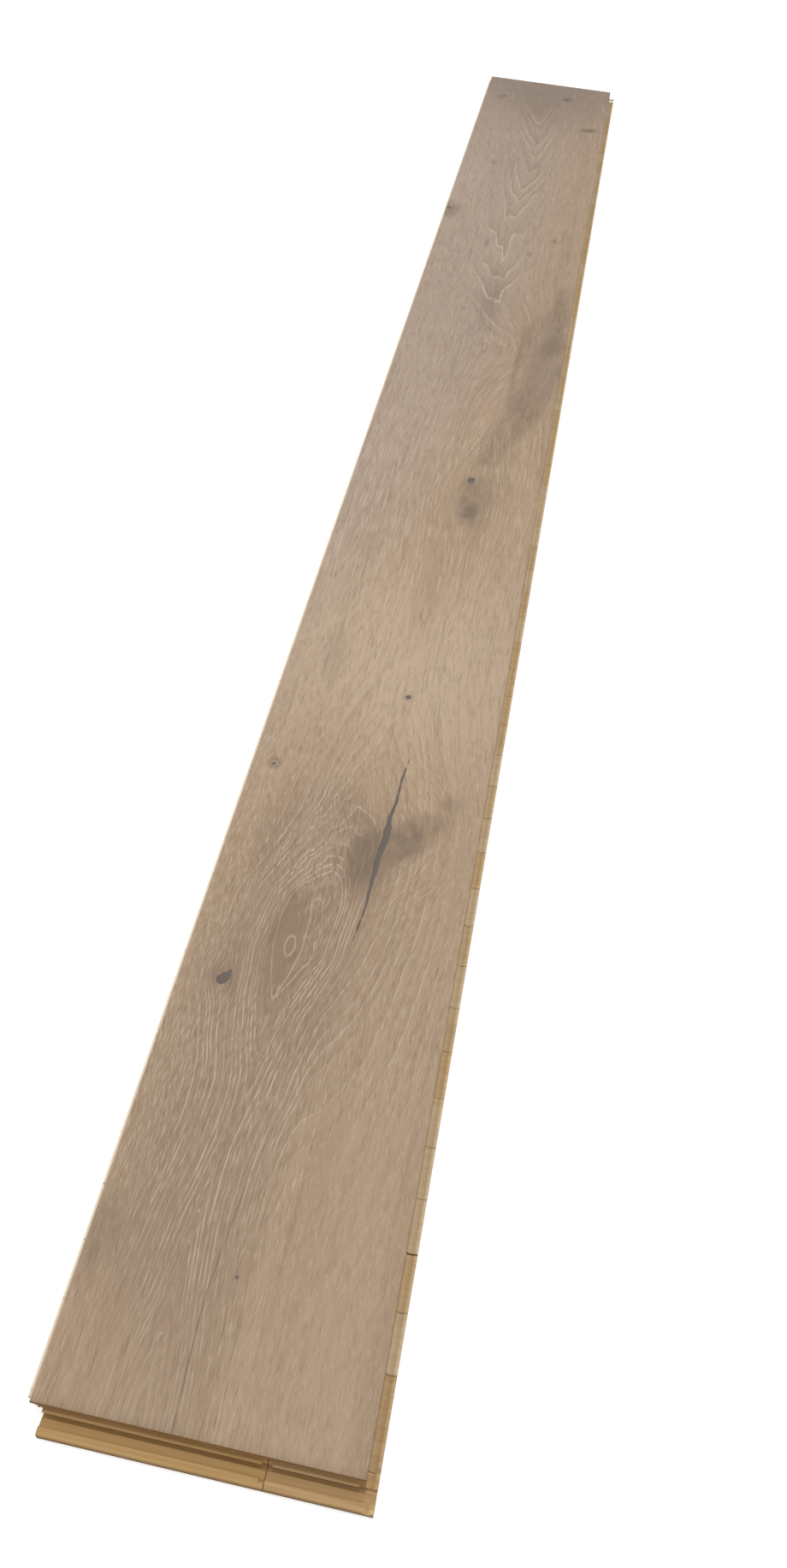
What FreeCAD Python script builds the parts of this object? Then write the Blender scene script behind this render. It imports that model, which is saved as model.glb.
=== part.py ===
"""Wide plank floorboard: a three-layer oak board with folding click edges.

Frame: +Z up, +Y along the board, +X towards the long groove edge. The origin is
the middle of the laying rectangle, on the underside. All sizes are millimetres.
"""
import FreeCAD
import Part
import math
import os

# The board: the face that shows once it is laid, and its three layers.
board_length = 2200.0
board_width = 200.0
board_thickness = 14.0
oak_thickness = 3.5
backing_thickness = 2.0
edge_bevel = 0.4          # 45 degree bevel round the oak face

# Long edges: the tongue is on -X, the groove with its locking strip is on +X.
# Depths are measured down from the oak face, reaches out from the oak edge.
long_lip = 5.2            # upper lip over the groove
tongue_thickness = 3.7
tongue_reach = 3.0
tongue_nose = 1.2         # eased corners of the tip
groove_ease = 0.6         # eased corners at the back of the groove
long_channel_depth = 10.7
long_channel_reach = 3.5  # lowest point of the hollow in the strip
long_channel_round = 2.4
long_ridge_depth = 9.3
long_ridge_start = 5.9
long_strip_reach = 7.5

# Short edges: the snap tongue and its strip are on -Y, their sockets on +Y.
short_lip = 4.5           # upper lip, above the spring slot
spring_slot = 1.7         # free height above the snap tongue
spring_slot_depth = 2.3
snap_thickness = 2.2
snap_reach = 2.4
snap_nose = 0.8
snap_bite = 0.5           # how far the snap tongue catches its socket
undercut_reach = 0.9      # wall under the snap tongue
undercut_depth = 11.8
undercut_end = 3.4
short_channel_depth = 10.8
short_channel_start = 4.2
short_channel_end = 8.8
short_ridge_depth = 9.0
short_ridge_start = 9.5
short_strip_reach = 14.6

# Fits between one board and the next.
tongue_play = 0.15        # above and below a tongue
tip_play = 0.3            # in front of a tongue
strip_play = 0.2          # over a strip
lock_play = 0.3           # behind a strip
wall_draft = 0.6          # lean of the wall behind a strip
corner_ease = 0.4         # eased outer corners of the strips

# Core: softwood slats laid across the board.
slat_pitch = 38.8
slat_gap = 0.4
end_slat = 7.8            # end slat, from the oak edge inwards
wide_slat = 56.2          # the slat next to it
open_joint = 4            # this joint, counted from the end slat, stands open
open_gap = 1.2
butt_joint = 143.0        # where the end slat's two lengths meet, from the tongue edge
butt_gap = 0.5

# Splinters lost where the end slat's two lengths meet.
snap_chip_left = 3.6
snap_chip_right = 2.8
ridge_chip_left = 3.4     # along the strip, on the left length only
ridge_chip_reach = 2.4
ridge_chip_depth = 1.6

# Splinter lost from the ridge of the long strip, at the joint next to the end slat.
strip_chip_length = 3.6
strip_chip_depth = 1.5
strip_chip_run = 1.4      # length of its full depth

# Corner of the tongue edge at the snap tongue end: the core is cut back under the oak,
# all but a ragged splinter. Places are from the tongue edge, drops from the oak.
corner_relief = 4.0
splinter_start = 2.9
splinter_tip = 5.1
splinter_drop = 4.4
splinter_notch = 6.3
splinter_notch_drop = 2.9
splinter_root_drop = 3.8


def depth(below_face):
    """Height of a level given as its depth below the oak face."""
    return board_thickness - below_face


def sharp(across, height):
    return (across, height, 0, False)


def eased(across, height, leg):
    """Corner cut off straight, with this leg along both of its sides."""
    return (across, height, leg, False)


def hollow(across, height, radius):
    """Corner swept round as an arc that runs into both of its sides."""
    return (across, height, radius, True)


def outline(corners):
    """Closed wire through the corners of a section, in the XZ plane."""
    spots = [FreeCAD.Vector(across, 0, height) for across, height, _, _ in corners]
    bends = []
    for i, (_, _, size, swept) in enumerate(corners):
        spot = spots[i]
        back = (spots[i - 1] - spot).normalize()
        ahead = (spots[(i + 1) % len(spots)] - spot).normalize()
        half = back.getAngle(ahead) / 2
        reach = size / math.tan(half) if swept else size
        bow = reach * (1 / math.cos(half) - math.tan(half))
        middle = spot + (back + ahead).normalize() * bow if swept else None
        bends.append((spot + back * reach, middle, spot + ahead * reach))
    edges = []
    for i, (start, middle, stop) in enumerate(bends):
        if middle is not None:
            edges.append(Part.Arc(start, middle, stop).toShape())
        elif start != stop:
            edges.append(Part.LineSegment(start, stop).toShape())
        edges.append(Part.LineSegment(stop, bends[(i + 1) % len(bends)][0]).toShape())
    return Part.Wire(edges)


def prism(corners, length):
    """Outline extruded to both sides of its plane, along Y."""
    face = Part.Face(outline(corners))
    face.translate(FreeCAD.Vector(0, -length / 2, 0))
    return face.extrude(FreeCAD.Vector(0, length, 0))


def lock_wall():
    """Where the wall behind a neighbour's long strip stands, on the tongue edge."""
    return -board_width / 2 + long_strip_reach + lock_play


def long_edge_form():
    """Section across the board: tongue on the left, groove and strip on the right."""
    side = board_width / 2
    tongue_top = long_lip + tongue_play
    tongue_foot = tongue_top + tongue_thickness
    groove_foot = tongue_foot + tongue_play
    groove_end = side - tongue_reach - tip_play
    corners = [
        sharp(side - edge_bevel, depth(0)),
        sharp(side, depth(edge_bevel)),
        sharp(side, depth(long_lip)),
        eased(groove_end, depth(long_lip), groove_ease),
        eased(groove_end, depth(groove_foot), groove_ease),
        sharp(side, depth(groove_foot)),
        hollow(side + long_channel_reach, depth(long_channel_depth), long_channel_round),
        sharp(side + long_ridge_start, depth(long_ridge_depth)),
        eased(side + long_strip_reach, depth(long_ridge_depth), corner_ease),
        sharp(side + long_strip_reach, 0),
        sharp(lock_wall() + wall_draft, 0),
        sharp(lock_wall(), depth(long_ridge_depth - strip_play)),
        sharp(-side + long_ridge_start, depth(long_ridge_depth - strip_play)),
        hollow(-side + long_channel_reach, depth(long_channel_depth - strip_play), long_channel_round),
        sharp(-side, depth(tongue_foot)),
        eased(-side - tongue_reach, depth(tongue_foot), tongue_nose),
        eased(-side - tongue_reach, depth(tongue_top), tongue_nose),
        sharp(-side, depth(tongue_top)),
        sharp(-side, depth(edge_bevel)),
        sharp(-side + edge_bevel, depth(0)),
    ]
    return prism(corners, board_length + 2 * short_strip_reach)


def short_edge_form():
    """Section along the board: snap tongue and strip on -Y, their sockets on +Y."""
    end = board_length / 2
    snap_top = short_lip + spring_slot
    snap_foot = snap_top + snap_thickness
    socket_end = end - snap_reach - tip_play
    catch = end - snap_reach + snap_bite
    end_wall = end - short_strip_reach - lock_play
    hook_foot = short_channel_depth - strip_play
    corners = [
        sharp(-end + edge_bevel, depth(0)),
        sharp(-end, depth(edge_bevel)),
        sharp(-end, depth(short_lip)),
        sharp(-end + spring_slot_depth, depth(short_lip)),
        sharp(-end + spring_slot_depth, depth(snap_top)),
        eased(-end - snap_reach, depth(snap_top), snap_nose),
        eased(-end - snap_reach, depth(snap_foot), snap_nose),
        sharp(-end - undercut_reach, depth(snap_foot)),
        sharp(-end - undercut_reach, depth(undercut_depth)),
        sharp(-end - undercut_end, depth(undercut_depth)),
        sharp(-end - short_channel_start, depth(short_channel_depth)),
        sharp(-end - short_channel_end, depth(short_channel_depth)),
        eased(-end - short_ridge_start, depth(short_ridge_depth), corner_ease),
        eased(-end - short_strip_reach, depth(short_ridge_depth), corner_ease),
        sharp(-end - short_strip_reach, 0),
        sharp(end_wall - wall_draft, 0),
        sharp(end_wall, depth(short_ridge_depth - strip_play)),
        sharp(end - short_ridge_start + lock_play, depth(short_ridge_depth - strip_play)),
        sharp(end - short_channel_end + lock_play, depth(hook_foot)),
        sharp(end - short_channel_start, depth(hook_foot)),
        sharp(catch, depth(hook_foot - snap_bite)),
        sharp(catch, depth(snap_foot + tongue_play)),
        sharp(socket_end, depth(snap_foot + tongue_play)),
        sharp(socket_end, depth(snap_top - tongue_play)),
        sharp(end, depth(snap_top - tongue_play)),
        sharp(end, depth(edge_bevel)),
        sharp(end - edge_bevel, depth(0)),
    ]
    form = prism(corners, board_width + 2 * (long_strip_reach + tongue_reach))
    form.rotate(FreeCAD.Vector(0, 0, 0), FreeCAD.Vector(0, 0, 1), 90)
    return form


def slab(low, high, start=None, stop=None, left=None, right=None):
    """Box between two heights, over the whole board unless a side is given."""
    span = board_length + board_width
    start = -span if start is None else start
    stop = span if stop is None else stop
    left = -span if left is None else left
    right = span if right is None else right
    corner = FreeCAD.Vector(left, start, low)
    return Part.makeBox(right - left, stop - start, high - low, corner)


def slat_bounds():
    """Start and stop of each slat along the board, from the snap tongue end."""
    end = board_length / 2
    joints = [-end + end_slat, -end + end_slat + wide_slat]
    rest = end - joints[-1]
    count = max(1, round(rest / slat_pitch))
    joints += [joints[1] + rest * k / count for k in range(1, count)]
    gaps = [open_gap if k == open_joint else slat_gap for k in range(1, len(joints) + 1)]
    starts = [-end - short_strip_reach] + [y + g / 2 for y, g in zip(joints, gaps)]
    stops = [y - g / 2 for y, g in zip(joints, gaps)] + [end]
    return list(zip(starts, stops))


def wedge(corners, start, stop):
    """Prism across the board between two places, from (along, height) corners."""
    spots = [FreeCAD.Vector(start, y, z) for y, z in corners]
    face = Part.Face(Part.makePolygon(spots + spots[:1]))
    return face.extrude(FreeCAD.Vector(stop - start, 0, 0))


def chips():
    """Splinters lost from the snap tongue, from its strip and from the long strip."""
    butt = -board_width / 2 + butt_joint
    end = -board_length / 2
    joint = end + end_slat
    side = board_width / 2
    snap_top = depth(short_lip + spring_slot)
    snap_foot = depth(short_lip + spring_slot + snap_thickness)
    ridge_top = depth(short_ridge_depth)
    strip_top = depth(long_ridge_depth)
    snap = [
        (end - snap_reach, snap_top),
        (end - snap_reach, snap_foot),
        (end - undercut_reach, snap_foot),
        (end - undercut_reach + snap_nose, snap_top),
    ]
    ridge = [
        (end - short_channel_end, ridge_top),
        (end - short_ridge_start - ridge_chip_reach, ridge_top),
        (end - short_ridge_start, ridge_top - ridge_chip_depth),
        (end - short_channel_end, ridge_top - ridge_chip_depth),
    ]
    strip = [
        (joint, strip_top),
        (joint + strip_chip_length, strip_top),
        (joint + strip_chip_run, strip_top - strip_chip_depth),
        (joint, strip_top - strip_chip_depth),
    ]
    return [
        wedge(snap, butt - snap_chip_left, butt + snap_chip_right),
        wedge(ridge, butt - ridge_chip_left, butt),
        wedge(strip, side + long_channel_reach, side + long_strip_reach),
    ]


def tongue_corner():
    """What is cut off at the snap tongue end of the tongue edge."""
    side = board_width / 2
    end = -board_length / 2
    outside = -side - 2 * tongue_reach
    top = depth(oak_thickness)
    ragged = [
        sharp(outside, 0),
        sharp(lock_wall(), 0),
        sharp(lock_wall(), top - splinter_root_drop),
        sharp(-side + splinter_notch, top - splinter_notch_drop),
        sharp(-side + splinter_tip, top - splinter_drop),
        sharp(-side + splinter_start, top),
        sharp(outside, top),
    ]
    under = prism(ragged, 2 * corner_relief)
    under.translate(FreeCAD.Vector(0, end, 0))
    return [slab(0, top, stop=end, right=lock_wall()), under]


def save(shape, name):
    shape.Solids[0].exportStep("parts/" + name + ".step")


def main():
    os.makedirs("parts", exist_ok=True)
    board = long_edge_form().common(short_edge_form())
    core_top = depth(oak_thickness)
    save(board.common(slab(core_top, depth(0))), "oak_wear_layer")
    save(board.common(slab(0, backing_thickness)), "backing_veneer")
    core = board.common(slab(backing_thickness, core_top)).cut(chips() + tongue_corner())
    slats = slat_bounds()
    low, high = backing_thickness, core_top
    start, stop = slats[0]
    butt = -board_width / 2 + butt_joint
    save(core.common(slab(low, high, start, stop, right=butt - butt_gap / 2)), "end_slat_left")
    save(core.common(slab(low, high, start, stop, left=butt + butt_gap / 2)), "end_slat_right")
    for number, (start, stop) in enumerate(slats[1:], 1):
        save(core.common(slab(low, high, start, stop)), f"core_slat_{number:02d}")


main()
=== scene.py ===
"""Looks of the wide plank floorboard: a brushed, limed oak face on a softwood core.

Places on the oak face are millimetres: across from the tongue edge, along from the
snap tongue end. What reaches Blender is in metres, in the part's frame.
"""
from collections import namedtuple

import bpy
import numpy as np
from mathutils import Matrix, Vector


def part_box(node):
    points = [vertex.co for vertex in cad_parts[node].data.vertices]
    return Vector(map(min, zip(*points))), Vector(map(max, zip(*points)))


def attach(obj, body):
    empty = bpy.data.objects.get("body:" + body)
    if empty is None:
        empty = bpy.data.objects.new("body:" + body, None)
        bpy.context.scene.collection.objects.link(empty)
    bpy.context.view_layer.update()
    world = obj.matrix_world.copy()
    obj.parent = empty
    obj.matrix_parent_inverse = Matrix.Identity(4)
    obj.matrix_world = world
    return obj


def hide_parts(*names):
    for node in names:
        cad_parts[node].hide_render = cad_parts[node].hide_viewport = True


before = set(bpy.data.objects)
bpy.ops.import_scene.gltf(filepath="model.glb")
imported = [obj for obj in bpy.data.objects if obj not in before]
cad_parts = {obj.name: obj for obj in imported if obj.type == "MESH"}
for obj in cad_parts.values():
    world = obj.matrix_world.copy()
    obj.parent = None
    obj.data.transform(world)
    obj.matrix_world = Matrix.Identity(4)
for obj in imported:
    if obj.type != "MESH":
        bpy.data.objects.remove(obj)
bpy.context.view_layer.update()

MM = 0.001
oak_low, oak_high = (np.array(corner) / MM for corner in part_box("oak_wear_layer"))
face_width, face_length, oak_thickness = oak_high - oak_low

# Mesh of the oak face: columns across, rows closer together where the figure is tight.
edge_bevel = 0.4
column_step = 0.8
row_zones = [    # rows from this place on, and how far apart they lie
    (0, 7.0), (280, 2.7), (600, 10.0), (900, 4.2), (1080, 8.0), (1660, 3.0), (1678, 8.0),
    (2012, 2.8), (2030, 8.0), (2112, 2.8), (2146, 8.0),
]

# Kinds of marks on the face. Their places, widths and lengths are millimetres.
Heart = namedtuple("Heart", "across along width length first")
Oval = namedtuple("Oval", "across along width length")
Patch = namedtuple("Patch", "across along width length strength")
Swing = namedtuple("Swing", "across along reach stretch")
Push = namedtuple("Push", "across along width length shift")
Stain = namedtuple("Stain", "across along width length slant strength")

# Smooth random waves: their height, the size of their cells and their seed.
Wave = namedtuple("Wave", "height across along seed")
wave_margin = 8                             # spare cells round the face

# Growth rings. The heart wanders across the face, and lies deeper or shallower under it.
# Pairs are places along the board and values there.
ring_width = 3.2
heart_round = [(1000, 4.0), (1420, 8.0)]    # roundness of the tips that the rings make over the heart
ring_spread = [(1000, 3.2), (1400, 9.0), (1520, 22.0), (1680, 22.0), (1850, 9.0), (2200, 8.0)]
heart_line = [
    (0, 62), (134, 62), (230, 71), (300, 68), (353, 73), (404, 74), (470, 79), (580, 102), (700, 104),
    (860, 120), (957, 129), (1005, 126), (1091, 129), (1200, 124), (1300, 112), (1384, 102), (1438, 92),
    (1525, 93), (1634, 86), (1786, 97), (1884, 103), (1938, 102), (2035, 97), (2097, 91), (2200, 89),
]
heart_depth = [
    (0, 4.5), (30, 6.4), (55, 9.6), (74, 12.8), (102, 16), (134, 19.2), (165, 22.2), (190, 23),
    (212, 22.4), (246, 19.2), (262, 16), (290, 12.8), (306, 9.6), (336, 6.4), (350, 4.5), (364, 6.4),
    (404, 9.6), (416, 12.8), (428, 16), (441, 19.2), (452, 22.4), (466, 25.6), (482, 28.8), (502, 32),
    (522, 35.2), (548, 38.4), (578, 41.6), (620, 43), (690, 41.6), (750, 38.4), (800, 35.2), (845, 32),
    (880, 27), (915, 18), (950, 9), (980, 6), (1005, 9), (1030, 14), (1064, 19.2), (1091, 22.4),
    (1150, 27), (1280, 34), (1400, 31), (1525, 25.6), (1634, 22.4), (1730, 19.2), (1790, 16), (1836, 12.8),
    (1884, 9.6), (1938, 6.4), (1977, 3.2), (2021, 0), (2060, -3.2), (2097, -6.4), (2140, -9.6), (2200, -13),
]
line_softness, line_margin = 14, 100        # how far corners are rounded, and lines run on past the ends
pore_stretch = 2.2                          # pores are this much longer along the board than across
ring_beats = [(0.2, 2.1, 0), (0.25, 0.83, 1)]    # uneven years: height, rate and start of each beat
ring_waves = [Wave(0.07, 9, 60, 3), Wave(0.03, 4, 16, 4)]
ragged_wave = Wave(0.75, 6, 9, 8)
flame_wave = Wave(1.0, 6.5, 55, 9)
fibre_waves = [Wave(5, 130, 460, 1), Wave(0.8, 26, 110, 2)]

# The figure fades out between these distances from the heart, at the near and at the far end.
figure_inner, figure_outer = (22, 14), (60, 34)

# A second heart, in the tongue side of the split knot: place, half axes and first ring.
knot_heart = Heart(110, 452, 6.5, 26, 8.0)
heart_blend = 1.2

# The eye of the figure: a closed ring, and an outline given by its half width along the eye.
eye_ring = Oval(74.0, 355, 3.8, 9.5)
eye_middle = 72.4
eye_outline = [(304, 0), (327, 6.6), (353, 10.8), (381, 11.4), (402, 8.4), (413, 0)]
eye_wave = Wave(0.5, 6, 9, 12)
eye_off = 9                                 # distance at which no outline shows

# Fibres swing round knots and round the eye of the figure.
swings = [
    Swing(73, 358, 9, 3.0),       # eye of the figure
    Swing(131, 958, 17, 2.2),     # double knot
    Swing(32, 315, 8, 1.5),
    Swing(18, 539, 7, 1.4),
    Swing(115, 648, 5, 1.6),
    Swing(0, 1668, 14, 1.4),
    Swing(28, 2118, 7, 1.4),
    Swing(133, 2140, 7, 1.4),
    Swing(177, 2021, 9, 1.0),
    Swing(98, 96, 3, 1.6),
]

# Fibres pushed towards the groove edge, in soft patches.
pushes = [
    Push(166, 486, 42, 92, 36),     # beside the split knot
    Push(103, 425, 20, 80, 12),     # between the eye and the check
    Push(145, 1310, 46, 112, 40),   # at the stain band
]

# Where the rings waver more: soft patches.
ragged_rings = [
    Patch(76, 478, 14, 56, 1.0),
    Patch(92.5, 360, 6, 30, 1.2),
    Patch(104, 560, 7, 40, 0.5),
]
flame_rings = [Patch(96, 1580, 40, 150, 0.4), Patch(95, 1950, 30, 200, 0.2)]

# Where the ring lines show more clearly than so far from the heart, or less: soft patches.
clear_rings = [
    Patch(160, 345, 50, 130, 0.9),
    Patch(62, 465, 24, 80, 0.8),
    Patch(125, 700, 60, 150, -0.9),
    Patch(120, 880, 36, 80, -1.0),
    Patch(130, 965, 40, 80, -1.2),
    Patch(128, 1200, 50, 120, -1.2),
    Patch(131, 1078, 9, 20, 1.5),
]

# Dark filler in the long check and in the open knots: lines of (across, along, half width).
check_line = [
    (130.4, 580, 0.2), (128.6, 562, 0.6), (127.2, 545, 0.8), (127.2, 520, 1.2), (124.8, 500, 1.6),
    (125.3, 490, 2.7), (125.5, 478, 2.8), (124.1, 466, 2.5), (123.1, 453, 2.0), (123.3, 444, 2.0),
    (122.6, 432, 1.4), (122.8, 422, 1.0), (122.6, 406, 0.9), (121.4, 391, 0.75), (119.4, 371, 0.35),
]
filled_knots = [
    [(28.6, 311.0, 0.9), (32.0, 313.5, 4.4), (35.4, 317.5, 3.4), (36.8, 322, 1.2)],
    [(125.2, 1003.4, 3.7), (125.4, 1006.8, 3.6)],
    [(115, 647.0, 3.2), (115.6, 650.0, 3.0)],
    [(18.0, 538.2, 1.7), (18.8, 539.6, 1.6)],
    [(130.5, 2138, 2.8), (134.5, 2141, 2.8)],
    [(27, 2119, 1.6), (34, 2121.5, 1.5)],
    [(169, 2018, 1.6), (178, 2021.5, 2.6), (185, 2024, 1.4)],
    [(0, 1670, 2.2), (7.5, 1669, 1.2)],
    [(98.4, 97.6, 1.5), (98.8, 95.2, 1.3)],
]
filler_waves = [Wave(1.0, 2.0, 6.0, 6), Wave(0.8, 1.6, 4.0, 14)]
check_ragged, knot_ragged = 0.42, 0.7       # how ragged the filler's edge is
filler_depth = 0.45
filler_wall = (-0.9, 0.3)                   # its wall lies between these distances from its edge
ring_relief, plain_relief = 0.05, 0.35      # depth of the brushed rings, and its share away from the figure

# Grey and brown stains: place, half width, half length, slant (across per along) and strength.
stains = [
    Stain(111, 455, 14, 33, 0.1, 0.85),      # round the split knot, tongue side
    Stain(117, 440, 16, 34, 0.1, 0.35),
    Stain(143, 478, 18, 26, 0.35, 0.85),     # and groove side
    Stain(155, 498, 17, 17, 0.7, 0.55),
    Stain(124, 462, 14, 32, 0.1, 0.4),
    Stain(173, 528, 11, 10, 0.3, 0.4),
    Stain(131, 955, 12, 33, -0.05, 0.75),    # double knot
    Stain(131, 943, 7, 14, 0.1, 0.45),
    Stain(127, 1000, 11, 18, 0.0, 0.4),
    Stain(132, 968, 21, 56, 0.0, 0.35),
    Stain(32, 316, 12, 14, 0.0, 0.45),
    Stain(46, 330, 30, 40, 0.0, 0.22),
    Stain(146, 1262, 4, 85, 0.0, 0.45),      # streaks in the stain band
    Stain(178, 1308, 16, 26, 0.3, 0.45),
    Stain(162, 1186, 12, 30, 0.2, 0.35),
    Stain(177, 1146, 8, 22, 0.2, 0.35),
    Stain(115, 648, 6, 9, 0.0, 0.5),
    Stain(3, 1665, 17, 28, 0.0, 0.75),
    Stain(133, 2140, 9, 10, 0.0, 0.8),
    Stain(177, 2021, 13, 9, 0.6, 0.8),
    Stain(160, 1611, 5, 8, 0.0, 0.65),
    Stain(129, 1561, 5, 6, 0.0, 0.5),
    Stain(69, 1577, 4, 10, 0.0, 0.55),
    Stain(47, 1850, 6, 9, 0.0, 0.5),
    Stain(111, 1857, 5, 7, 0.0, 0.45),
    Stain(82, 1604, 3, 4, 0.0, 0.45),
    Stain(98, 96, 3, 5, 0.0, 0.4),
    Stain(6, 104, 14, 26, 0.0, 0.35),
    Stain(20, 112, 22, 30, 0.0, 0.12),
    Stain(125.5, 150, 1.3, 90, 0.03, 0.25),  # edge of the quiet grain
    Stain(40, 690, 12, 40, -0.1, 0.25),
    Stain(61, 378, 5, 30, 0.1, 0.55),        # shaded side of the eye
    Stain(70, 392, 9, 24, 0.0, 0.2),
]
stain_edge = 1.8                            # more is a sharper edge

# Knots that show as a ring: place and radius. The strength is that of their stain, and the width is its
# share of the radius.
ring_knots = [(18.4, 539, 4.8), (25, 2117, 4.6)]
ring_knot_strength, ring_knot_width = 0.75, 0.4

# The stain band, as a line of (across, along, half width), and the light bars in it.
dapple_start, dapple_pitch, dapple_count = 1248, 12, 6
dapples = [Patch(155, dapple_start + dapple_pitch * k, 7, 4.5, 0.5) for k in range(dapple_count)]
stain_band = [
    (187, 1465, 8), (184, 1408, 12), (173, 1350, 24), (173, 1298, 25), (173, 1249, 24), (169, 1200, 21),
    (164, 1152, 16), (152, 1116, 15), (141, 1080, 13), (134, 1047, 8),
]
band_fade = 12
band_strength = 0.72
band_wave = Wave(0.35, 9, 34, 5)

# How strongly the pores are limed: soft patches over an even ground.
lime_ground = 0.5
lime_patches = [
    Patch(72, 190, 42, 150, 0.45),
    Patch(20, 200, 30, 190, 0.2),
    Patch(158, 340, 44, 120, 0.35),
    Patch(85, 450, 26, 60, 0.4),
    Patch(66, 470, 20, 75, 0.8),
    Patch(165, 90, 38, 110, -0.3),
    Patch(30, 1800, 50, 420, -0.2),
    Patch(100, 2160, 200, 110, -0.3),
    Patch(72, 360, 11, 40, -1.3),
    Patch(131, 1078, 10, 20, 0.3),
    Patch(95, 1560, 28, 240, 0.35),
    Patch(131, 960, 24, 60, -0.5),
    Patch(110, 830, 16, 100, -0.3),
    Patch(12, 60, 34, 90, -0.4),
    Patch(70, 40, 60, 120, -0.35),
]

# Tone of the wood, and painted light along the board: the patches whose half width spans the whole face paint
# the lamp's pool of light in the middle and its falloff towards the far end. Lighter above zero, browner and
# darker below.
tone_and_light_patches = [
    Patch(70, 170, 45, 210, -0.75),
    Patch(20, 250, 40, 230, -0.45),
    Patch(30, 20, 60, 60, 0.2),
    Patch(165, 90, 38, 130, 0.15),
    Patch(150, 330, 40, 110, -0.25),
    Patch(72, 355, 11, 44, -0.9),
    Patch(110, 690, 140, 190, 0.78),
    Patch(115, 840, 14, 110, -0.5),
    Patch(150, 1000, 40, 120, -0.4),
    Patch(96, 1420, 16, 90, -0.6),
    Patch(100, 1740, 200, 260, 0.1),
    Patch(100, 2210, 200, 210, -0.9),
    Patch(100, 1430, 200, 120, -0.2),
    Patch(100, 310, 26, 70, -0.5),
    Patch(85, 470, 60, 90, -1.2),
    Patch(95, 2130, 30, 110, -0.3),
    Patch(15, 1800, 40, 260, 0.35),
    Patch(185, 1260, 30, 110, -0.5),
    Patch(80, 1250, 40, 100, -0.25),
]

# Quiet grain at the snap tongue end: (along, across) points where it starts, and where it fades out.
quiet_edge = [(0, 123.5), (72, 121), (152, 127), (260, 129)]
quiet_fade = 1.5
quiet_end = (170, 280)

# Along the board the wood turns greyer, sooner at the tongue edge, and its limed flecks grow broader.
grey_start, grey_stop = 850, 1450
grey_slant = 5
warm_side, warm_share = (90, 180), 0.75     # from here to here across, it turns grey less by this share
broad_start, broad_stop = 500, 900

# Hairline crack at the snap tongue end: a line of (across, along, half width).
hairline_wave = Wave(0.25, 2, 6, 7)
hairline = [
    (99, 215, 0.05), (94.4, 185, 0.1), (89.3, 159, 0.25), (86.2, 123, 0.3), (83.2, 85, 0.35), (83.2, 64, 0.4),
    (84.7, 27, 0.35), (85.2, 0, 0.3),
]

# Kinds of grain in the finishes: noise with cells of this size, shown from its low to its high level.
# The oak's cells lie across and along its fibres, in millimetres. The third axis only sets the seeds apart.
Grain = namedtuple("Grain", "cells low high seed detail", defaults=(2.0,))
noise_spacing = 7.3                         # between the noise of one seed and of the next
ground_bands = Grain((16, 700, 1), 0.3, 0.7, 1)
mottle = Grain((3.5, 14, 1), 0.45, 0.75, 12)
streaks = Grain((2.6, 110, 1), 0.5, 0.75, 2, 3.0)
line_waver = Grain((2.5, 24, 1), 0.0, 1.0, 3)
line_dashes = Grain((0.9, 80, 1), 0.38, 0.54, 4)
line_patches = Grain((9, 70, 1), 0.36, 0.58, 13)
after_pores = Grain((0.5, 15, 1), 0.5, 0.64, 5)
near_flecks = Grain((0.65, 10, 1), 0.5, 0.66, 6)
broad_flecks = Grain((1.25, 42, 1), 0.53, 0.63, 7)
short_flecks = Grain((0.9, 6, 1), 0.53, 0.68, 11)
dark_pores = Grain((0.7, 18, 1), 0.56, 0.7, 8)
stain_clouds = Grain((3, 16, 1), 0.3, 0.68, 9, 4.0)
filler_grit = Grain((0.8, 0.8, 1), 0.0, 1.0, 10, 3.0)

# Limed lines along the rings. Widths are millimetres.
waver_rings = 0.14                          # how far a line strays, in rings
least_rise = 0.03                           # rings a millimetre, so that no line grows too wide
line_half = (0.28, 1.05)                    # half width at the near and at the far end
line_fade = (0.35, -0.1)                    # beyond the half width, from clear to limed
line_chance = (0.0, 0.7)                    # a ring's random number, from bare to fully limed
far_whole = 0.8                             # how far the gaps between dashes close at the far end
patch_least = 0.4                           # share of a line that is left in its faint patches
after_phase, after_share = (0.5, 0.12), 0.35    # limed pores that trail a line, by phase of the ring
plain_lines = (0.3, 0.1)                    # share of a line away from the figure, near and far
late_phase = (0.4, 0.95)                    # late wood, by phase of the ring
late_plain, late_figure = 0.15, 0.5         # its share away from the figure and in it

# Shares of the oak's tones and pores.
grey_share, mottle_share, streak_share, late_share = 0.9, 0.3, 0.4, 0.7
lime_lift, lime_level = 0.14, -0.07         # how liming lifts the noise of the flecks
lime_range = (-0.2, 0.8)                    # liming that takes the lines from none to whole
fleck_share, line_share, eye_share = 0.68, 0.74, 0.6
plain_flecks, figure_flecks, far_flecks = 0.8, 0.45, 0.58
dark_share = 0.56
quiet_lines, quiet_flecks, quiet_dark = 0.35, 0.6, 0.34
eye_fade = (0.75, 0.35)                     # millimetres from the eye's outline, from clear to limed
oak_specular = 0.25
oak_rough, limed_rough = 0.56, 0.14         # roughness, and what liming adds to it
dark_depth = 3.0                            # of the dark pores, beside the limed ones
grain_bump, grain_depth = 0.3, 0.0002       # strength, and depth in metres

# Stains, the hairline crack and filler on the oak.
stain_veil, veiled_share = (0.25, 0.9), 0.25    # stain that hides the liming, and share that still shows
cloud_range, stain_share = (0.55, 1.15), 0.82
crack_fade, crack_share = (0.5, -0.2), 0.6
grit_reach, filler_fade = 0.7, (0.6, 0.15)

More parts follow.
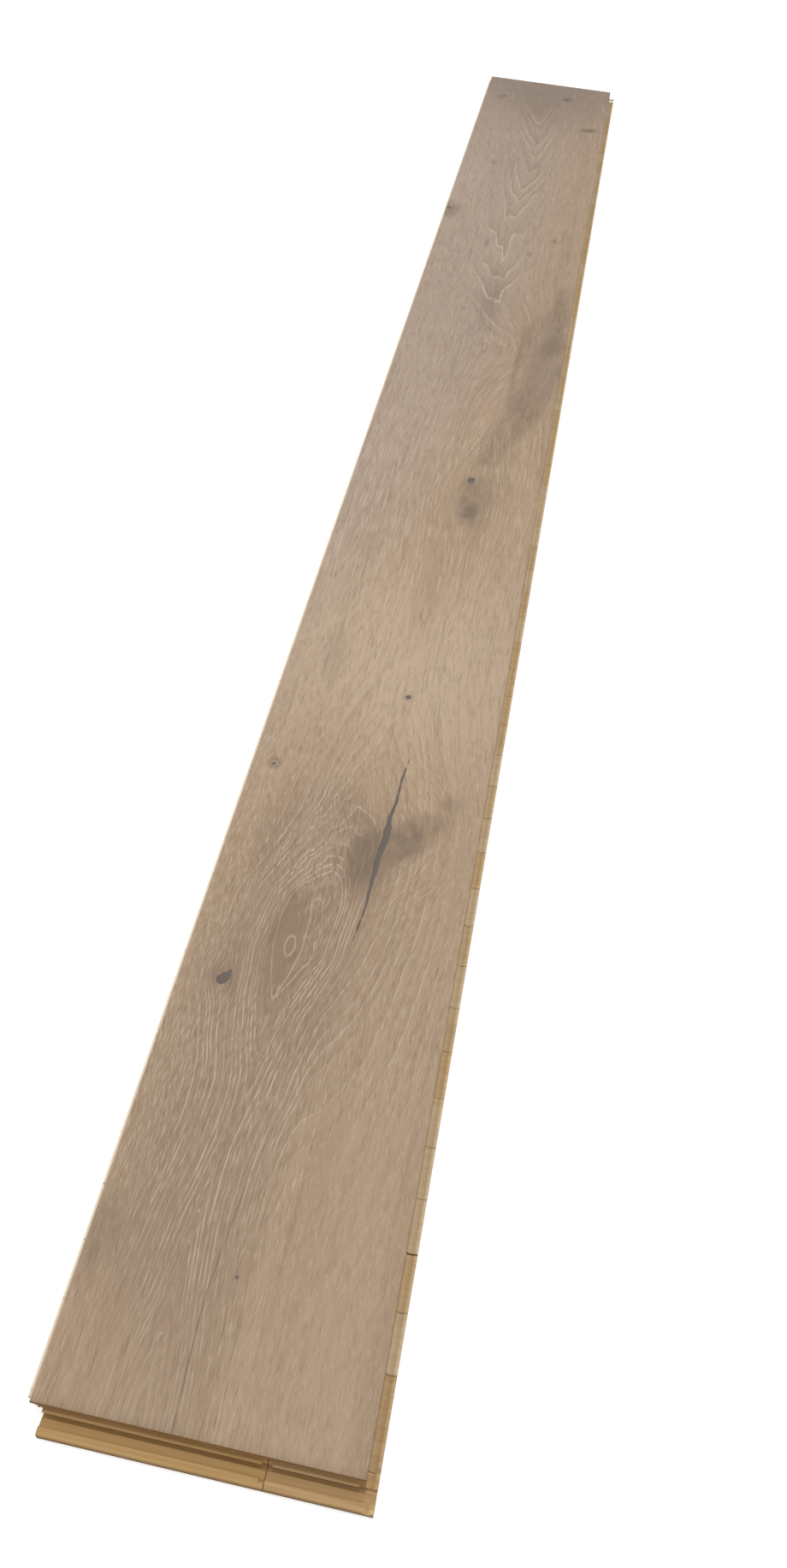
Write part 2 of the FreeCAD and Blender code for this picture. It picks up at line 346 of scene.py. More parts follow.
# Colours of the oak, in steps from 0 to 255.
ground_tan, ground_pale, ground_grey = (172, 146, 118), (182, 156, 128), (177, 157, 142)
light_near, light_far = (197, 173, 147), (197, 176, 158)
deep_near, deep_far = (151, 127, 103), (149, 131, 117)
mottle_brown = (150, 126, 104)
late_brown = (146, 122, 99)
pore_brown = (130, 109, 90)
fleck_cream = (203, 183, 162)
line_cream = (209, 191, 170)
stain_brown = (119, 103, 88)
crack_brown = (112, 96, 84)
filler_dark, filler_pale = (92, 83, 76), (120, 109, 100)

# Sawn edges of the oak, in the bare wood's brown darkened as painted shade. From here on, cells and places
# are metres along the part's axes.
edge_grain = Grain((0.0012, 0.03, 0.0006), 0.35, 0.65, 1, 3.0)
edge_pores = Grain((0.0006, 0.006, 0.0006), 0.58, 0.7, 2)
edge_pore_share = 0.5
# painted shade: these browns are darker than the oak, standing in for the shaded end and side faces
edge_dark_shaded, edge_pale_shaded, edge_pore = (136, 96, 52), (158, 116, 68), (118, 84, 46)
edge_rough = 0.7
edge_bump, edge_depth = 0.3, 0.0003

# Softwood of the core and of the backing.
soft_streaks = Grain((0.07, 0.0022, 0.0016), 0.3, 0.7, 0, 3.0)
soft_rings = Grain((0.6, 0.02, 0.03), 0.55, 1.0, 20, 1.0)
soft_clouds = Grain((0.05, 0.02, 0.02), 0.5, 0.75, 40)
soft_specks = Grain((0.004, 0.0007, 0.0007), 0.64, 0.74, 60)
soft_ring_count = 8.0
soft_ring_share, soft_cloud_share, soft_speck_share = 0.18, 0.25, 0.4
soft_shade = 0.66                           # level of the darker tone, beside the deep one
soft_specular = 0.2
soft_rough = (0.2, 0.8, 0.62, 0.78)         # streak noise from and to, and roughness there
soft_bump, soft_depth = 0.2, 0.0002

# Painted shade: darker in the hollows of the strips and in the corner under the groove edge. Painted light:
# paler on the tongue.
hollow_top, hollow_foot, hollow_painted_shade = 0.0046, 0.0036, 0.5
corner_reach, corner_painted_shade = 0.0015, 0.5
tongue_ease, tongue_light_share = 0.0002, 0.9
tongue_line, corner_line = oak_low[0] * MM, oak_high[0] * MM
tongue_painted_light = (238, 224, 200)

# Tints of the softwood: pale and deep tone. Each slat draws one of three, unless one is chosen for it.
soft_tints = {
    "core_softwood_tan": ((221, 195, 155), (207, 177, 134)),
    "core_softwood_cream": ((226, 203, 167), (213, 186, 147)),
    "core_softwood_honey": ((222, 194, 150), (208, 176, 129)),
    "core_softwood_brown": ((217, 186, 141), (202, 169, 122)),
    "end_softwood_honey": ((221, 186, 130), (200, 158, 101)),
    "end_softwood_grey": ((223, 189, 140), (200, 161, 110)),
    "backing_softwood": ((186, 140, 84), (160, 115, 63)),
}
drawn_tints = ["core_softwood_tan", "core_softwood_cream", "core_softwood_honey"]
tint_seed = 11
chosen_tints = {
    "core_slat_01": "core_softwood_brown",
    "core_slat_02": "core_softwood_cream",
    "end_slat_left": "end_softwood_honey",
    "end_slat_right": "end_softwood_grey",
    "backing_veneer": "backing_softwood",
}

# Floor, even light and lamps. A lamp turns by radians, and its energy is watts.
floor_half, floor_drop = 7.0, 0.0002
floor_bounce, floor_pale, floor_glow = 0.45, 0.8, 0.6
even_light = 0.58
Lamp = namedtuple("Lamp", "name place turn size energy")
lamps = [
    Lamp("soft_box", (-0.1, -0.4, 2.6), (0.0, 0.0, 0.0), 0.4, 20.0),
    Lamp("side_fill", (-2.2, -0.3, 0.9), (0.0, -1.18, 0.0), 1.2, 16.0),
]

# Camera: its axes and its place. The picture's middle lies this many pixels beside the lens's.
camera_right = Vector((0.978531, 0.197366, 0.059365))
camera_down = Vector((0.183716, -0.704737, -0.685269))
camera_ahead = Vector((-0.093412, 0.681463, -0.725866))
camera_place = Vector((0.0859, -1.3498, 0.8436))
picture_height, shift_pixels = 1834, 60
sensor_width, lens_length = 36.0, 31.204    # millimetres
nearest_seen = 0.01


def wander(across, along, cell_across, cell_along, seed):
    """Smooth random field between -1 and 1, with cells of this size."""
    dice = np.random.default_rng(seed)
    a, b = across / cell_across + wave_margin, along / cell_along + wave_margin
    cells = tuple(int(place.max()) + wave_margin + 1 for place in (a, b))
    knots = dice.uniform(-1, 1, cells)
    i, j = np.floor(a).astype(int), np.floor(b).astype(int)
    a, b = a - i, b - j
    a, b = a * a * (3 - 2 * a), b * b * (3 - 2 * b)
    near = knots[i, j] * (1 - a) + knots[i + 1, j] * a
    far = knots[i, j + 1] * (1 - a) + knots[i + 1, j + 1] * a
    return near * (1 - b) + far * b


def sway(across, along, *waves):
    """Sum of smooth random waves."""
    return sum(wave.height * wander(across, along, wave.across, wave.along, wave.seed) for wave in waves)


def between(ends, share):
    """Value at this share of the way from one end to the other."""
    return ends[0] + share * (ends[1] - ends[0])


def smooth_line(points, along):
    """Value along the board through these (along, value) points, with its corners rounded."""
    places = np.arange(-line_margin, face_length + line_margin)
    values = np.interp(places, *zip(*points))
    window = np.hanning(line_softness + 2)[1:-1]
    padded = np.pad(values, line_softness // 2, mode="edge")
    soft = np.convolve(padded, window / window.sum(), mode="same")
    return np.interp(along, places, soft[line_softness // 2:-(line_softness // 2)])


def beyond_line(across, along, line):
    """Distance from a line of (across, along, half width) points, less its half width there."""
    nearest = np.full(across.shape, np.inf)
    for (xa, ya, wa), (xb, yb, wb) in zip(line, line[1:]):
        run = (xb - xa) ** 2 + (yb - ya) ** 2
        share = np.clip(((across - xa) * (xb - xa) + (along - ya) * (yb - ya)) / run, 0, 1)
        away = np.hypot(across - xa - share * (xb - xa), along - ya - share * (yb - ya))
        nearest = np.minimum(nearest, away - wa - share * (wb - wa))
    return nearest


def soft_step(value, low, high):
    """0 below low, 1 above high, smooth between."""
    share = np.clip((value - low) / (high - low), 0, 1)
    return share * share * (3 - 2 * share)


def soft_patch(across, along, patch):
    """1 in the middle of a patch, fading out over its half width and half length."""
    return np.exp(-((across - patch.across) / patch.width) ** 2 - ((along - patch.along) / patch.length) ** 2)


def fibre_field(across, along):
    """Coordinate across the fibres: it is level along each of them."""
    fibre = across + sway(across, along, *fibre_waves)
    for swing in swings:
        aside = across - swing.across
        square = aside ** 2 + ((along - swing.along) / swing.stretch) ** 2
        fibre = fibre - aside * swing.reach ** 2 / (square + swing.reach ** 2)
    for push in pushes:
        fibre = fibre - push.shift * soft_patch(across, along, push)
    return fibre


def ring_field(fibre, across, along):
    """Number of the growth ring, counted from the heart."""
    aside = fibre - smooth_line(heart_line, along)
    depth = smooth_line(heart_depth, along)
    spread = np.interp(along, *zip(*ring_spread))
    tip = np.interp(along, *zip(*heart_round))
    main = depth / ring_width + (np.hypot(aside, tip) - tip) / spread
    knot = knot_heart.first + np.hypot(
        (across - knot_heart.across) / knot_heart.width, (along - knot_heart.along) / knot_heart.length)
    ring = -heart_blend * np.logaddexp(-main / heart_blend, -knot / heart_blend)
    beats = sum(height * np.sin(rate * ring + start) for height, rate, start in ring_beats)
    ragged = patch_field(across, along, ragged_rings) * sway(across, along, ragged_wave)
    flame = patch_field(across, along, flame_rings) * sway(across, along, flame_wave)
    return ring + beats + sway(across, along, *ring_waves) + ragged + flame


def stain_field(across, along):
    """Strength of the grey and brown stains."""
    clear = np.ones(across.shape)
    for stain in stains:
        aside = across - stain.across - stain.slant * (along - stain.along)
        reach = (aside / stain.width) ** 2 + ((along - stain.along) / stain.length) ** 2
        clear = clear * (1 - stain.strength * np.exp(-reach ** stain_edge))
    for place_across, place_along, radius in ring_knots:
        away = np.hypot(across - place_across, along - place_along) / radius
        clear = clear * (1 - ring_knot_strength * np.exp(-((away - 1) / ring_knot_width) ** 2))
    band = 1 - soft_step(beyond_line(across, along, stain_band), -band_fade / 2, band_fade)
    patchy = 1 - band_wave.height + sway(across, along, band_wave)
    soaked = 1 - clear * (1 - band_strength * band * patchy)
    return soaked * (1 - patch_field(across, along, dapples))


def filler_field(across, along):
    """Distance outside the dark filler, negative within it."""
    ragged = sway(across, along, *filler_waves)
    distance = beyond_line(across, along, check_line) + check_ragged * ragged
    for knot in filled_knots:
        distance = np.minimum(distance, beyond_line(across, along, knot) + knot_ragged * ragged)
    return distance


def patch_field(across, along, patches):
    """Sum of soft patches."""
    return sum(patch.strength * soft_patch(across, along, patch) for patch in patches)


def quiet_field(across, along):
    """1 in the quiet grain near the groove edge at the snap tongue end."""
    beside = soft_step(across - np.interp(along, *zip(*quiet_edge)), -quiet_fade, quiet_fade)
    return beside * (1 - soft_step(along, *quiet_end))


def grey_field(across, along):
    """How grey the wood is: it turns grey along the board, sooner at the tongue edge."""
    slanted = along + grey_slant * (face_width / 2 - across)
    return soft_step(slanted, grey_start, grey_stop) * (1 - warm_share * soft_step(across, *warm_side))


def eye_field(across, along):
    """Distance from the outline of the eye of the figure, or from the closed ring in it."""
    ring = np.hypot((across - eye_ring.across) / eye_ring.width, (along - eye_ring.along) / eye_ring.length)
    half = np.interp(along, *zip(*eye_outline)) + sway(across, along, eye_wave)
    outline = np.abs(np.abs(across - eye_middle) - half)
    outside = (along < eye_outline[0][0]) | (along > eye_outline[-1][0])
    return np.minimum(np.abs(ring - 1) * eye_ring.width, np.where(outside, eye_off, outline))


def face_fields(columns, rows):
    """All fields of the oak face, one value for each point of its mesh."""
    across, along = np.meshgrid(columns, rows)
    fibre = fibre_field(across, along)
    ring = ring_field(fibre, across, along)
    rise_along, rise_across = np.gradient(ring, rows, columns)
    heart = np.abs(fibre - smooth_line(heart_line, along))
    far = soft_step(along, grey_start, grey_stop)
    figure = 1 - soft_step(heart, between(figure_inner, far), between(figure_outer, far))
    return {
        "fibre": np.stack([fibre, along, np.zeros_like(along)], -1),
        "ring": ring,
        "ring_rise": np.hypot(rise_across, pore_stretch * rise_along),
        "figure": np.clip(figure + patch_field(across, along, clear_rings), 0, 1),
        "eye": eye_field(across, along),
        "stain": stain_field(across, along),
        "filler": filler_field(across, along),
        "lime": lime_ground + patch_field(across, along, lime_patches),
        "tone": patch_field(across, along, tone_and_light_patches),
        "far": far,
        "grey": grey_field(across, along),
        "quiet": quiet_field(across, along),
        "hairline": beyond_line(across, along, hairline) + sway(across, along, hairline_wave),
    }


def face_height(fields):
    """Brushed relief of the oak: troughs along the early wood, and the sunk filler."""
    early = (0.5 + 0.5 * np.cos(2 * np.pi * fields["ring"])) ** 2
    relief = ring_relief * early * between((plain_relief, 1), fields["figure"])
    filler = filler_depth * (1 - soft_step(fields["filler"], *filler_wall))
    return oak_thickness - np.maximum(relief, filler)


def grid_lines(zones, start, stop):
    """Places from start to stop, each zone with its own step."""
    edges = [max(place, start) for place, _ in zones] + [stop]
    lines = []
    for low, high, (_, apart) in zip(edges, edges[1:], zones):
        count = max(2, round((high - low) / apart))
        lines.append(np.linspace(low, high, count, endpoint=False))
    return np.append(np.concatenate(lines), stop)


def oak_faces(index, rim, outer, foot):
    """Faces of the oak: its grid, the bevel round it, the four sides and the underside."""
    grid = np.stack([index[:-1, :-1], index[:-1, 1:], index[1:, 1:], index[1:, :-1]], -1).reshape(-1, 4)
    after = np.roll(np.arange(len(rim)), -1)
    bevel = np.stack([outer, outer[after], rim[after], rim], -1)
    sides = []
    rows, columns = index.shape
    corners = np.cumsum([0, columns - 1, rows - 1, columns - 1, rows - 1])
    for side in range(len(foot)):
        stretch = outer[np.arange(corners[side], corners[side + 1] + 1) % len(rim)]
        start, stop = foot[side], foot[(side + 1) % len(foot)]
        half = len(stretch) // 2
        sides += [(start, b, a) for a, b in zip(stretch[:half], stretch[1:])]
        sides += [(start, stop, stretch[half])]
        sides += [(stop, b, a) for a, b in zip(stretch[half:], stretch[half + 1:])]
    edges = [list(map(int, face)) for face in sides + [foot[::-1]]]
    return grid.tolist() + bevel.tolist(), edges


def shoulder_points(rim_points, columns, rows):
    """Outer edge of the bevel: the rim's points moved out to the oak's sides, and lower."""
    shoulder = rim_points.copy()
    for axis, lines, size in ((0, columns, face_width), (1, rows, face_length)):
        place = shoulder[:, axis]
        place = np.where(place <= lines[0], 0, place)
        shoulder[:, axis] = np.where(place >= lines[-1], size, place)
    shoulder[:, 2] = oak_thickness - edge_bevel
    return shoulder


def make_oak():
    """The oak wear layer, as a mesh with its relief and the fields that its finish reads."""
    columns = grid_lines([(0, column_step)], edge_bevel, face_width - edge_bevel)
    rows = grid_lines(row_zones, edge_bevel, face_length - edge_bevel)
    fields = face_fields(columns, rows)
    across, along = np.meshgrid(columns, rows)
    face = np.stack([across, along, face_height(fields)], -1).reshape(-1, 3)
    index = np.arange(len(face)).reshape(across.shape)
    rim = np.concatenate([index[0, :-1], index[:-1, -1], index[-1, :0:-1], index[:0:-1, 0]])
    shoulder = shoulder_points(face[rim], columns, rows)
    foot = np.array([(0, 0, 0), (face_width, 0, 0), (face_width, face_length, 0), (0, face_length, 0)])
    outer = len(face) + np.arange(len(rim))
    feet = len(face) + len(rim) + np.arange(len(foot))
    points = (np.concatenate([face, shoulder, foot]) + oak_low) * MM
    top_faces, edge_faces = oak_faces(index, rim, outer, feet)
    mesh = bpy.data.meshes.new("oak_face")
    mesh.from_pydata(points.tolist(), [], top_faces + edge_faces)
    number = np.arange(len(mesh.polygons))
    mesh.polygons.foreach_set("use_smooth", number < (len(rows) - 1) * (len(columns) - 1))
    mesh.polygons.foreach_set("material_index", (number >= len(top_faces)).astype(np.int32))
    store_fields(mesh, fields, rim)
    mesh.materials.append(oak_finish())
    mesh.materials.append(oak_edge_finish())
    oak = bpy.data.objects.new("oak_face", mesh)
    bpy.context.scene.collection.objects.link(oak)
    return oak


def store_fields(mesh, fields, rim):
    """Keeps the fields as point attributes. The bevel repeats those of the rim, and the foot has none."""
    for name, field in fields.items():
        wide = field.ndim == 3
        values = field.reshape(-1, 3) if wide else field.reshape(-1, 1)
        values = np.concatenate([values, values[rim]])
        values = np.pad(values, ((0, len(mesh.vertices) - len(values)), (0, 0)))
        attribute = mesh.attributes.new(name, "FLOAT_VECTOR" if wide else "FLOAT", "POINT")
        attribute.data.foreach_set("vector" if wide else "value", values.astype(np.float32).ravel())


def paint(colour):
    """Linear colour of an sRGB colour given in steps from 0 to 255."""
    steps = np.array(colour) / 255
    linear = np.where(steps <= 0.04045, steps / 12.92, ((steps + 0.055) / 1.055) ** 2.4)
    return (*linear.tolist(), 1.0)


def add(tree, kind, *inputs, **settings):
    """New shader node with these settings, and its first inputs linked or set."""
    node = tree.nodes.new("ShaderNode" + kind)
    for name, value in settings.items():
        setattr(node, name, value)
    for socket, value in zip(node.inputs, inputs):
        if value is not None:
            fill(tree, socket, value)
    return node


def fill(tree, socket, value):
    """Links an output to a socket, or sets its value."""
    if isinstance(value, bpy.types.NodeSocket):
        tree.links.new(value, socket)
    else:
        socket.default_value = value


def calc(tree, operation, *values):
    """Result of a math node."""
    return add(tree, "Math", *values, operation=operation).outputs[0]


def times(tree, product, *others):
    """Product of all the values."""
    for other in others:
        product = calc(tree, "MULTIPLY", product, other)
    return product


def step(tree, value, low, high, at_low=0.0, at_high=1.0):
    """Smooth step of a value between two levels."""
    node = add(tree, "MapRange", value, low, high, at_low, at_high, interpolation_type="SMOOTHSTEP")
    return node.outputs[0]


def field(tree, name):
    """One of the fields of the face."""
    return add(tree, "Attribute", attribute_name=name).outputs["Fac"]


def noise(tree, vector, grain, seed=0):
    """Noise with a grain's cells along the axes of a vector."""
    scale = [1 / cell for cell in grain.cells]
    shift = (0, 0, (grain.seed + seed) * noise_spacing)
    place = add(tree, "VectorMath", vector, scale, shift, operation="MULTIPLY_ADD").outputs[0]
    node = add(tree, "TexNoise", place)
    node.inputs["Scale"].default_value = 1.0
    node.inputs["Detail"].default_value = grain.detail
    return node.outputs["Fac"]


def pattern(tree, vector, grain, least=0.0, most=1.0, seed=0):
    """Where a grain shows: from least to most as its noise goes from its low to its high level."""
    return step(tree, noise(tree, vector, grain, seed), grain.low, grain.high, least, most)


def mix(tree, share, under, over):
    """Colour over a colour, by a share. The colours of a mix node are its inputs 6 and 7 and its output 2."""
    node = add(tree, "Mix", share, data_type="RGBA")
    fill(tree, node.inputs[6], under)
    fill(tree, node.inputs[7], over)
    return node.outputs[2]


def mix_number(tree, share, under, over):
    """Number between two numbers, by a share."""
    return add(tree, "Mix", share, None, under, over, data_type="FLOAT").outputs[0]


def new_finish(name, specular):
    """Material with a principled shader, and its tree."""
    material = bpy.data.materials.new(name)
    material.use_nodes = True
    shader = material.node_tree.nodes["Principled BSDF"]
    shader.inputs["Specular IOR Level"].default_value = specular
    return material, material.node_tree, shader


def bump(tree, shader, height, strength, distance):
    """Fine relief of a finish."""
    node = add(tree, "Bump", strength, distance)
    fill(tree, node.inputs["Height"], height)
    tree.links.new(node.outputs[0], shader.inputs["Normal"])


def oak_ground(tree, fibre, far):
    """Colour of the oak without its rings and pores."""
    tone = field(tree, "tone")
    light = mix(tree, far, paint(light_near), paint(light_far))
    deep = mix(tree, far, paint(deep_near), paint(deep_far))
    brown = paint(mottle_brown)
    colour = mix(tree, pattern(tree, fibre, ground_bands), paint(ground_tan), paint(ground_pale))
    colour = mix(tree, times(tree, field(tree, "grey"), grey_share), colour, paint(ground_grey))
    # the tone lifts or darkens the wood; its broad patches are painted light and shade along the board
    colour = mix(tree, step(tree, tone, 0.0, 1.0), colour, light)
    colour = mix(tree, step(tree, tone, 0.0, -1.0), colour, deep)
    colour = mix(tree, times(tree, pattern(tree, fibre, mottle), mottle_share), colour, brown)
    return mix(tree, times(tree, pattern(tree, fibre, streaks), streak_share), colour, brown)


def limed_line(tree, fibre, far, ring):
    """Limed lines along the growth rings, broken into dashes, some of them fainter or left out."""
    nearest = calc(tree, "FLOOR", calc(tree, "ADD", ring, 0.5))
    aside = calc(tree, "ABSOLUTE", calc(tree, "SUBTRACT", ring, nearest))
    away = calc(tree, "DIVIDE", aside, calc(tree, "MAXIMUM", field(tree, "ring_rise"), least_rise))
    half = step(tree, far, 0.0, 1.0, *line_half)
    line = step(tree, calc(tree, "SUBTRACT", away, half), *line_fade)
    chance = add(tree, "TexWhiteNoise", noise_dimensions="1D")
    fill(tree, chance.inputs["W"], nearest)
    spared = step(tree, chance.outputs["Value"], *line_chance)
    dashes = mix_number(tree, times(tree, far, far_whole), pattern(tree, fibre, line_dashes), 1.0)
    patchy = pattern(tree, fibre, line_patches, least=patch_least)
    return times(tree, line, dashes, spared, patchy)


def ring_lines(tree, fibre, far, figure):
    """Limed lines with the pores that trail them, and the darker late wood before each of them."""
    ring = calc(tree, "MULTIPLY_ADD", noise(tree, fibre, line_waver), waver_rings, field(tree, "ring"))
    phase = calc(tree, "FRACT", ring)
    line = limed_line(tree, fibre, far, ring)
    after = times(tree, step(tree, phase, *after_phase), pattern(tree, fibre, after_pores), after_share)
    plain = calc(tree, "MULTIPLY_ADD", far, plain_lines[1] - plain_lines[0], plain_lines[0])
    shown = step(tree, figure, 0.0, 1.0, plain, 1.0)
    late = times(tree, step(tree, phase, *late_phase), step(tree, figure, 0.0, 1.0, late_plain, late_figure))
    return times(tree, calc(tree, "MAXIMUM", line, after), shown), late


def limed_flecks(tree, fibre, lime, quiet):
    """Short limed pores between the rings, broader along the board."""
    lift = calc(tree, "MULTIPLY_ADD", lime, lime_lift, lime_level)
    near, broad = (
        step(tree, calc(tree, "ADD", noise(tree, fibre, grain), lift), grain.low, grain.high)
        for grain in (near_flecks, broad_flecks)
    )
    near = mix_number(tree, quiet, near, pattern(tree, fibre, short_flecks, most=quiet_flecks))
    beyond = step(tree, add(tree, "SeparateXYZ", fibre).outputs["Y"], broad_start, broad_stop)
    return mix_number(tree, beyond, near, broad)


def oak_grain(tree, fibre, stain):
    """Colour of the oak with its rings and pores, and where those are limed or dark."""
    lime, figure, far, quiet = (field(tree, name) for name in ("lime", "figure", "far", "quiet"))
    veil = step(tree, stain, *stain_veil, 1.0, veiled_share)
    colour = oak_ground(tree, fibre, far)
    lines, late = ring_lines(tree, fibre, far, figure)
    open_grain = times(tree, veil, step(tree, quiet, 0.0, 1.0, 1.0, quiet_lines))
    lines = times(tree, lines, step(tree, lime, *lime_range), open_grain)
    lines = calc(tree, "MAXIMUM", lines, times(tree, step(tree, field(tree, "eye"), *eye_fade), eye_share))
    flecks = times(tree, limed_flecks(tree, fibre, lime, quiet), veil)
    flecks = times(tree, flecks, step(tree, figure, 0.0, 1.0, plain_flecks, figure_flecks))
    flecks = times(tree, flecks, step(tree, far, 0.0, 1.0, 1.0, far_flecks))
    dark = times(tree, pattern(tree, fibre, dark_pores), step(tree, quiet, 0.0, 1.0, dark_share, quiet_dark))
    colour = mix(tree, times(tree, late, late_share), colour, paint(late_brown))
    colour = mix(tree, dark, colour, paint(pore_brown))
    colour = mix(tree, times(tree, flecks, fleck_share), colour, paint(fleck_cream))
    colour = mix(tree, times(tree, lines, line_share), colour, paint(line_cream))
    return colour, calc(tree, "MAXIMUM", lines, flecks), dark


def oak_marks(tree, fibre, stain, colour):
    """Colour of the oak with its stains, its hairline crack and the filler in its check and knots."""
    soaked = times(tree, stain, pattern(tree, fibre, stain_clouds, *cloud_range), stain_share)
    colour = mix(tree, soaked, colour, paint(stain_brown))
    crack = times(tree, step(tree, field(tree, "hairline"), *crack_fade), crack_share)
    colour = mix(tree, crack, colour, paint(crack_brown))
    grit = noise(tree, fibre, filler_grit)
    filled = step(tree, calc(tree, "MULTIPLY_ADD", grit, grit_reach, field(tree, "filler")), *filler_fade)
    return mix(tree, filled, colour, mix(tree, grit, paint(filler_dark), paint(filler_pale)))


def oak_finish():
    """Brushed oak with limed pores, growth rings, stains, filled knots and a filled check."""
    material, tree, shader = new_finish("limed_oak", oak_specular)
    fibre = add(tree, "Attribute", attribute_name="fibre").outputs["Vector"]
    stain = field(tree, "stain")
    colour, limed, dark = oak_grain(tree, fibre, stain)
    fill(tree, shader.inputs["Base Color"], oak_marks(tree, fibre, stain, colour))
    fill(tree, shader.inputs["Roughness"], calc(tree, "MULTIPLY_ADD", limed, limed_rough, oak_rough))
    pores = calc(tree, "MAXIMUM", limed, times(tree, dark, dark_depth))
    bump(tree, shader, times(tree, pores, -1.0), grain_bump, grain_depth)
    return material


def oak_edge_finish():
    """Sawn edges of the oak: end grain and side grain in the bare wood's brown, darkened as painted shade."""
    material, tree, shader = new_finish("oak_edge_painted_shade", oak_specular)
    place = add(tree, "TexCoord").outputs["Object"]
    grain = noise(tree, place, edge_grain)
    bare = step(tree, grain, edge_grain.low, edge_grain.high)
    colour = mix(tree, bare, paint(edge_dark_shaded), paint(edge_pale_shaded))
    pores = times(tree, pattern(tree, place, edge_pores), edge_pore_share)
    fill(tree, shader.inputs["Base Color"], mix(tree, pores, colour, paint(edge_pore)))
    fill(tree, shader.inputs["Roughness"], edge_rough)
    bump(tree, shader, grain, edge_bump, edge_depth)
    return material


def softwood_finish(name, seed):
    """Sawn softwood with its fibres across the board: streaks, growth rings and specks, with painted shade in
    the hollows and under the groove edge and painted light on the tongue.
    """
    material, tree, shader = new_finish(name, soft_specular)
    pale, deep = (paint(tone) for tone in soft_tints[name])
    darker = (*(soft_shade * part for part in deep[:3]), 1.0)
    place = add(tree, "TexCoord").outputs["Object"]
    across, _, height = add(tree, "SeparateXYZ", place).outputs
    streak = noise(tree, place, soft_streaks, seed)
    bands = calc(tree, "FRACT", times(tree, noise(tree, place, soft_rings, seed), soft_ring_count))
    colour = mix(tree, step(tree, streak, soft_streaks.low, soft_streaks.high), pale, deep)
    shades = [
        times(tree, step(tree, bands, soft_rings.low, soft_rings.high), soft_ring_share),
        times(tree, pattern(tree, place, soft_clouds, seed=seed), soft_cloud_share),
        times(tree, pattern(tree, place, soft_specks, seed=seed), soft_speck_share),
        # painted shade in the low hollows of the strips
        step(tree, height, hollow_top, hollow_foot, 0.0, hollow_painted_shade),
        # painted shadow along the strip under the oak's groove edge
        step(tree, across, corner_line + corner_reach, corner_line, 0.0, corner_painted_shade),
    ]
    for shade in shades:
        colour = mix(tree, shade, colour, darker)
    # painted light: the tongue turns pale cream, as if lit from the tongue side
    tongue = step(tree, across, tongue_line, tongue_line - tongue_ease, 0.0, tongue_light_share)
    fill(tree, shader.inputs["Base Color"], mix(tree, tongue, colour, paint(tongue_painted_light)))
    fill(tree, shader.inputs["Roughness"], step(tree, streak, *soft_rough))
    bump(tree, shader, calc(tree, "ADD", streak, bands), soft_bump, soft_depth)
    return material


def dress_core():
    """Finishes of the slats and of the backing, in a few tints of the same wood."""
    finishes = {name: softwood_finish(name, seed) for seed, name in enumerate(soft_tints, start=1)}
    dice = np.random.default_rng(tint_seed)
    for name, node in sorted(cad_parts.items()):
        if name.startswith("core_slat"):
            node.material_slots[0].material = finishes[drawn_tints[dice.integers(len(drawn_tints))]]
    for name, tint in chosen_tints.items():
        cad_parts[name].material_slots[0].material = finishes[tint]


def seen_directly(tree):
    """1 for rays from the camera and for reflected or refracted ones, else 0."""
    path = add(tree, "LightPath")
    seen = calc(tree, "MAXIMUM", path.outputs["Is Camera Ray"], path.outputs["Is Glossy Ray"])
    return calc(tree, "MAXIMUM", seen, path.outputs["Is Transmission Ray"])


def grey(level):
    """Neutral colour of this level."""
    return (level, level, level, 1.0)


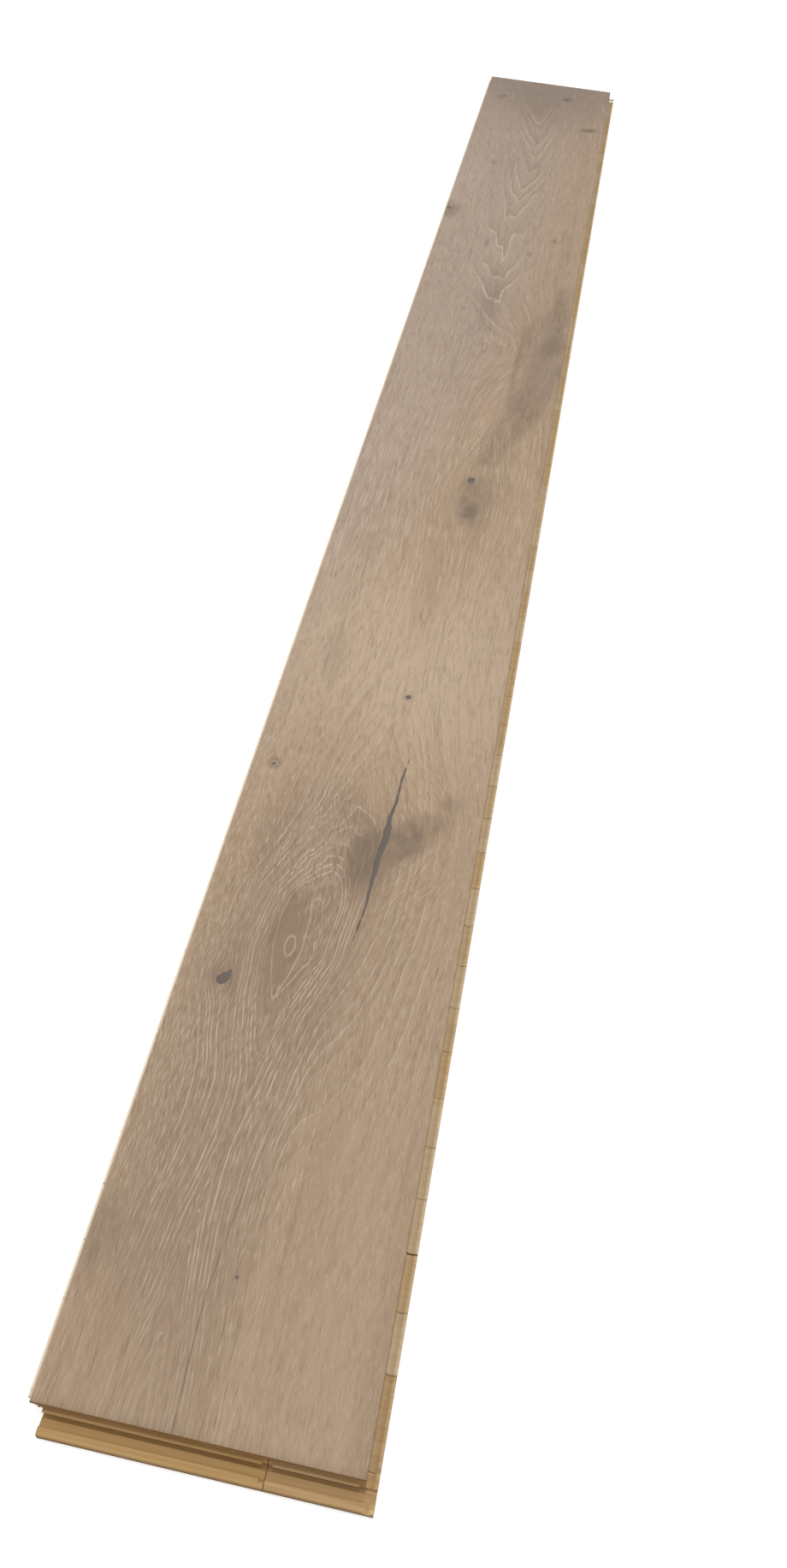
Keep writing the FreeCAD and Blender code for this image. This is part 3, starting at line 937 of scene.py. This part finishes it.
def make_floor():
    """Plain floor, white to the camera, that keeps a soft shadow and bounces little light."""
    corners = [(-1, -1), (1, -1), (1, 1), (-1, 1)]
    mesh = bpy.data.meshes.new("floor")
    mesh.from_pydata([(x * floor_half, y * floor_half, -floor_drop) for x, y in corners], [], [(0, 1, 2, 3)])
    floor = bpy.data.objects.new("floor", mesh)
    bpy.context.scene.collection.objects.link(floor)
    material = bpy.data.materials.new("floor")
    material.use_nodes = True
    tree = material.node_tree
    tree.nodes.clear()
    bounce = add(tree, "BsdfDiffuse", grey(floor_bounce)).outputs[0]
    pale = add(tree, "BsdfDiffuse", grey(floor_pale)).outputs[0]
    glow = add(tree, "Emission", grey(1.0), floor_glow).outputs[0]
    white = add(tree, "AddShader", pale, glow).outputs[0]
    shown = add(tree, "MixShader", seen_directly(tree), bounce, white).outputs[0]
    tree.links.new(shown, add(tree, "OutputMaterial").inputs["Surface"])
    mesh.materials.append(material)


def make_light():
    """Soft box above the board, a fill from its tongue side and even light from all round."""
    world = bpy.data.worlds.new("studio")
    bpy.context.scene.world = world
    world.use_nodes = True
    tree = world.node_tree
    tree.nodes.clear()
    even = add(tree, "Background", grey(1.0), even_light).outputs[0]
    white = add(tree, "Background", grey(1.0), 1.0).outputs[0]
    shown = add(tree, "MixShader", seen_directly(tree), even, white).outputs[0]
    tree.links.new(shown, add(tree, "OutputWorld").inputs["Surface"])
    for lamp in lamps:
        add_lamp(lamp)


def add_lamp(lamp):
    """Square area lamp."""
    light = bpy.data.lights.new(lamp.name, "AREA")
    light.size = lamp.size
    light.energy = lamp.energy
    box = bpy.data.objects.new(lamp.name, light)
    box.location = lamp.place
    box.rotation_euler = lamp.turn
    bpy.context.scene.collection.objects.link(box)


def make_camera():
    """Camera at the viewing angle of the picture."""
    data = bpy.data.cameras.new("camera")
    data.sensor_width = sensor_width
    data.lens = lens_length
    data.shift_x = shift_pixels / picture_height
    data.clip_start = nearest_seen
    camera = bpy.data.objects.new("camera", data)
    turn = Matrix((camera_right, -camera_down, -camera_ahead)).transposed()
    camera.matrix_world = Matrix.Translation(camera_place) @ turn.to_4x4()
    bpy.context.scene.collection.objects.link(camera)
    bpy.context.scene.camera = camera


oak = make_oak()
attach(oak, "root")
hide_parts("oak_wear_layer")
dress_core()
make_floor()
make_light()
make_camera()
bpy.context.scene.view_settings.view_transform = "Standard"
